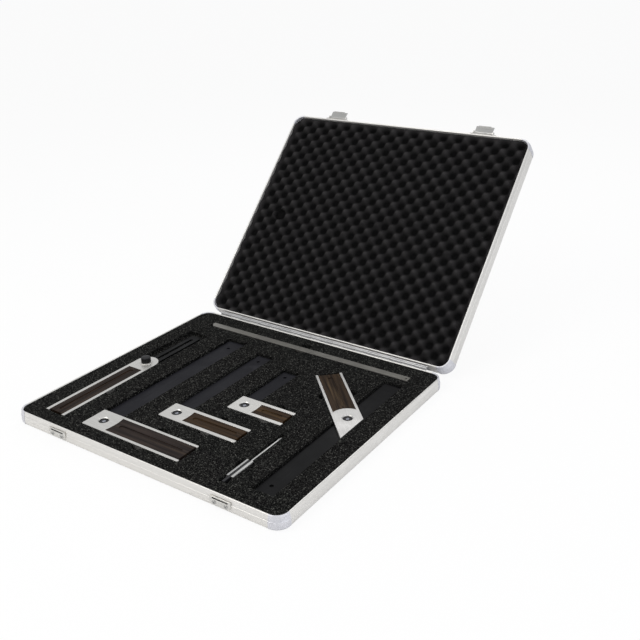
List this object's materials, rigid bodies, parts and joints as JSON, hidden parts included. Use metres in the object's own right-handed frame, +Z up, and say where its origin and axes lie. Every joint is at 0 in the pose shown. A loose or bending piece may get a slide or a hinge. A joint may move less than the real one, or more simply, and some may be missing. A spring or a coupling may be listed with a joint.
{
  "type": "square set case",
  "caption": "Slim hinged aluminium case, open, with foam-bedded try squares, mitre square, sliding bevel, straightedge and marking knife.",
  "frame": {"origin": "centre of the case's underside, on the surface it stands on", "axes": "+X to the right along the front edge, +Y to the hinge at the back, +Z up"},
  "size_m": [0.4406, 0.6803, 0.3092],
  "materials": {
    "aluminium": "satin anodised",
    "corner_metal": "satin cast",
    "bright_plate": "bright plated",
    "stainless": "brushed satin",
    "blued_steel": "dark blued steel",
    "rosewood": "oiled",
    "black_knob": "satin black",
    "foam": "open-cell foam"
  },
  "bodies": {
    "base": {"base_frame_left": "aluminium", "base_frame_right": "aluminium", "base_frame_front": "aluminium", "base_frame_back": "aluminium", "base_corner_front_left": "corner_metal", "base_corner_front_right": "corner_metal", "base_corner_back_right": "corner_metal", "base_corner_back_left": "corner_metal", "base_panel": "aluminium", "base_foam": "foam", "base_hinge_leaf": "aluminium", "base_hinge_rivets": "bright_plate", "hinge_pin": "aluminium", "strike_plate_left": "bright_plate", "strike_plate_right": "bright_plate", "strike_screws": "bright_plate"},
    "lid": {"lid_frame_left": "aluminium", "lid_frame_right": "aluminium", "lid_frame_front": "aluminium", "lid_frame_back": "aluminium", "lid_corner_front_left": "corner_metal", "lid_corner_front_right": "corner_metal", "lid_corner_back_right": "corner_metal", "lid_corner_back_left": "corner_metal", "lid_panel": "aluminium", "lid_foam": "foam", "lid_hinge_leaf": "aluminium", "lid_hinge_rivets": "bright_plate", "latch_pins": "bright_plate", "latch_rivets": "bright_plate", "latch_bracket_left": "bright_plate", "latch_bracket_right": "bright_plate"},
    "latch_lever_left": {"latch_lever_left": "bright_plate"},
    "latch_lever_right": {"latch_lever_right": "bright_plate"},
    "large_square": {"large_square_stock": "stainless", "large_square_blade": "blued_steel", "large_square_infill": "rosewood", "large_square_stud": "stainless"},
    "medium_square": {"medium_square_stock": "stainless", "medium_square_blade": "blued_steel", "medium_square_infill": "rosewood", "medium_square_stud": "stainless"},
    "small_square": {"small_square_stock": "stainless", "small_square_blade": "blued_steel", "small_square_infill": "rosewood", "small_square_stud": "stainless"},
    "mitre_square": {"mitre_square_stock": "stainless", "mitre_square_blade": "blued_steel", "mitre_square_infill": "rosewood", "mitre_square_stud": "stainless"},
    "sliding_bevel": {"sliding_bevel_stock": "stainless", "sliding_bevel_blade": "blued_steel", "sliding_bevel_infill": "rosewood", "sliding_bevel_washer": "stainless"},
    "marking_knife": {"marking_knife_blade": "stainless", "marking_knife_handle": "stainless", "marking_knife_core": "rosewood"},
    "bevel_knob": {"sliding_bevel_knob": "black_knob"},
    "straightedge": {"straightedge": "stainless"}
  },
  "joints": [
    {"name": "lid_hinge", "type": "hinge", "parent": "base", "child": "lid", "pos_m": [0, 0.1962, 0.02], "axis": [-1, 0, 0], "range_deg": [-134.2, 0]},
    {"name": "latch_lever_left_hinge", "type": "hinge", "parent": "lid", "child": "latch_lever_left", "pos_m": [-0.136, 0.47357, 0.29762], "axis": [-1, 0, 0], "range_deg": [-90, 0]},
    {"name": "latch_lever_right_hinge", "type": "hinge", "parent": "lid", "child": "latch_lever_right", "pos_m": [0.136, 0.47357, 0.29762], "axis": [-1, 0, 0], "range_deg": [-90, 0]},
    {"name": "large_square_lift", "type": "slide", "parent": "base", "child": "large_square", "axis": [0, 0, 1], "range_m": [0, 0.06]},
    {"name": "medium_square_lift", "type": "slide", "parent": "base", "child": "medium_square", "axis": [0, 0, 1], "range_m": [0, 0.06]},
    {"name": "small_square_lift", "type": "slide", "parent": "base", "child": "small_square", "axis": [0, 0, 1], "range_m": [0, 0.06]},
    {"name": "mitre_square_lift", "type": "slide", "parent": "base", "child": "mitre_square", "axis": [0, 0, 1], "range_m": [0, 0.06]},
    {"name": "sliding_bevel_lift", "type": "slide", "parent": "base", "child": "sliding_bevel", "axis": [0, 0, 1], "range_m": [0, 0.06]},
    {"name": "marking_knife_lift", "type": "slide", "parent": "base", "child": "marking_knife", "axis": [0, 0, 1], "range_m": [0, 0.06]},
    {"name": "straightedge_lift", "type": "slide", "parent": "base", "child": "straightedge", "axis": [0, 0, 1], "range_m": [0, 0.06]},
    {"name": "bevel_knob_turn", "type": "hinge", "parent": "sliding_bevel", "child": "bevel_knob", "pos_m": [-0.169, 0, 0.0204], "axis": [0, 0, 1], "range_deg": [0, 180]}
  ]
}
